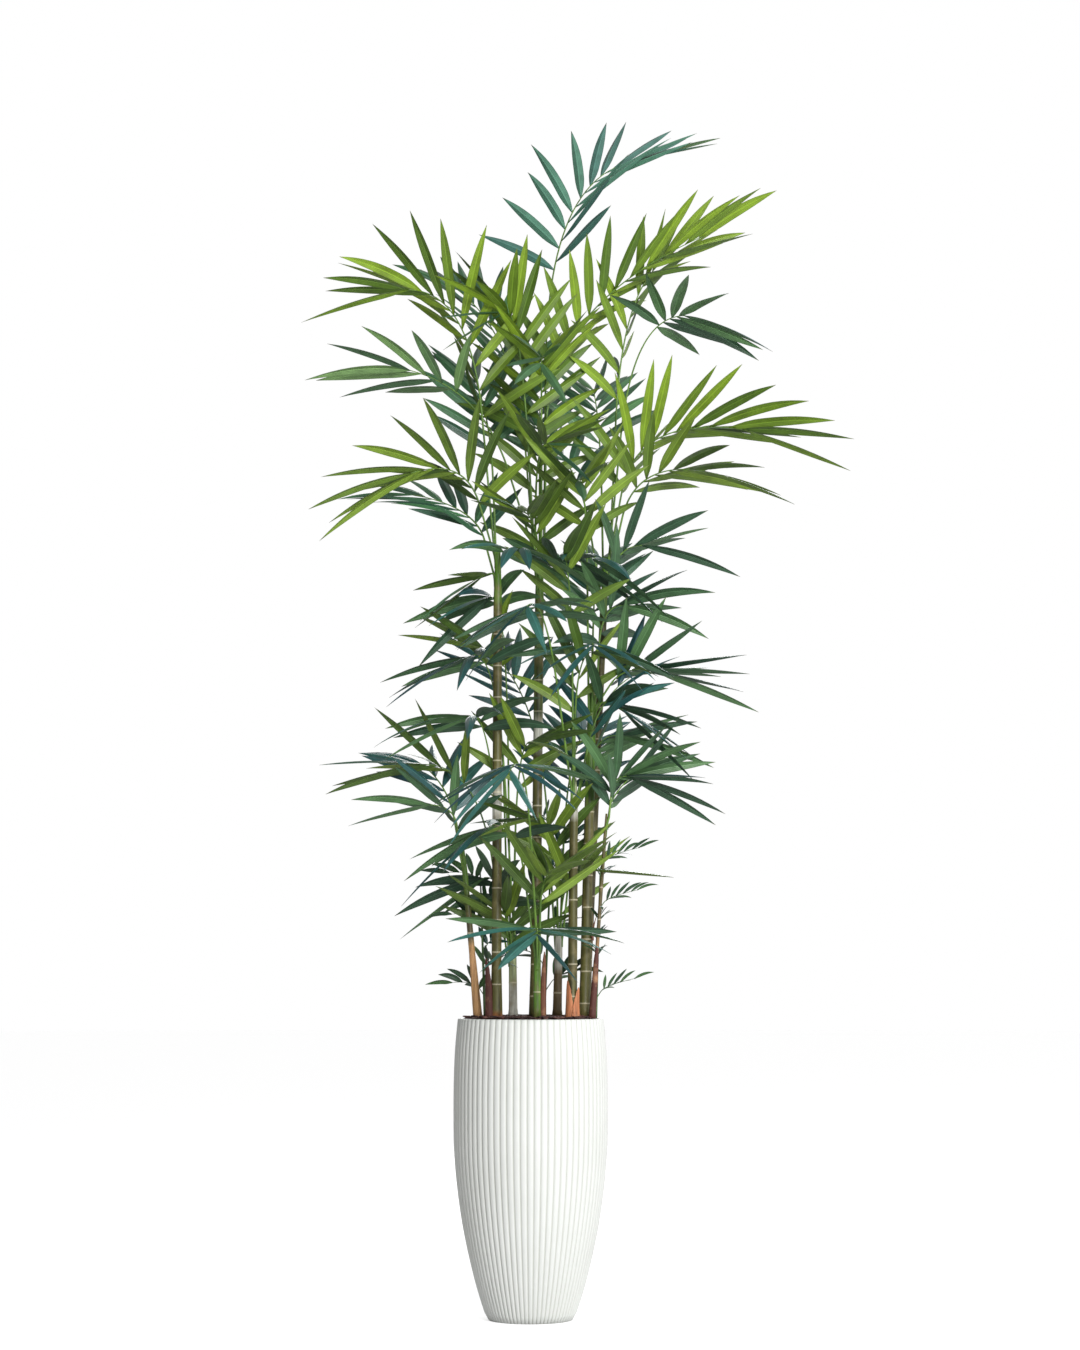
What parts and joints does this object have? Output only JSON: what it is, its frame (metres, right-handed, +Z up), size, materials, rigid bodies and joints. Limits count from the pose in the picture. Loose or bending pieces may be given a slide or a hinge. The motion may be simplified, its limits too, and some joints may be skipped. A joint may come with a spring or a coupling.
{
  "type": "artificial potted cane palm",
  "caption": "Clump of slender ringed palm canes with arching feather-leaved fronds in a tall reeded urn-shaped pot.",
  "frame": {"origin": "centre of the pot's flat underside", "axes": "+Z up along the pot's axis, +X to the viewer's right, -Y towards the viewer"},
  "size_m": [1.2592, 1.1112, 2.8119],
  "materials": {
    "pot": "matte off-white cast finish",
    "soil": "coarse dark bark chips",
    "cane": "satin, ringed, green above and weathered below",
    "seedling": "satin green",
    "frond": "satin, dark above and lighter below"
  },
  "bodies": {
    "root": {"brown_cane": "cane", "brown_cane_frond_1": "frond", "brown_cane_frond_2": "frond", "brown_cane_frond_3": "frond", "green_shoot": "cane", "green_shoot_frond_1": "frond", "green_shoot_frond_2": "frond", "green_shoot_frond_3": "frond", "green_shoot_frond_4": "frond", "leaning_cane": "cane", "leaning_cane_frond_1": "frond", "leaning_cane_frond_2": "frond", "left_cane": "cane", "left_cane_frond_1": "frond", "left_cane_frond_2": "frond", "left_cane_frond_3": "frond", "left_cane_frond_4": "frond", "left_cane_frond_5": "frond", "middle_cane": "cane", "middle_cane_frond_1": "frond", "middle_cane_frond_2": "frond", "middle_cane_frond_3": "frond", "middle_cane_frond_4": "frond", "middle_cane_frond_5": "frond", "middle_cane_frond_6": "frond", "middle_cane_frond_7": "frond", "middle_cane_frond_8": "frond", "olive_cane": "cane", "olive_cane_frond_1": "frond", "olive_cane_frond_2": "frond", "olive_cane_frond_3": "frond", "olive_cane_frond_4": "frond", "olive_cane_frond_5": "frond", "olive_cane_frond_6": "frond", "pale_shoot": "cane", "pale_shoot_frond_1": "frond", "pale_shoot_frond_2": "frond", "pale_shoot_frond_3": "frond", "pale_shoot_frond_4": "frond", "pale_shoot_frond_5": "frond", "pot": "pot", "right_cane": "cane", "right_cane_frond_1": "frond", "right_cane_frond_2": "frond", "right_cane_frond_3": "frond", "right_cane_frond_4": "frond", "right_cane_frond_5": "frond", "right_cane_frond_6": "frond", "right_cane_frond_7": "frond", "seedling_back": "seedling", "seedling_left": "seedling", "seedling_right": "seedling", "sheathed_cane": "cane", "sheathed_cane_frond_1": "frond", "sheathed_cane_frond_2": "frond", "sheathed_cane_frond_3": "frond", "soil": "soil", "thin_stem": "cane", "thin_stem_frond_1": "frond", "thin_stem_frond_2": "frond"}
  },
  "joints": []
}
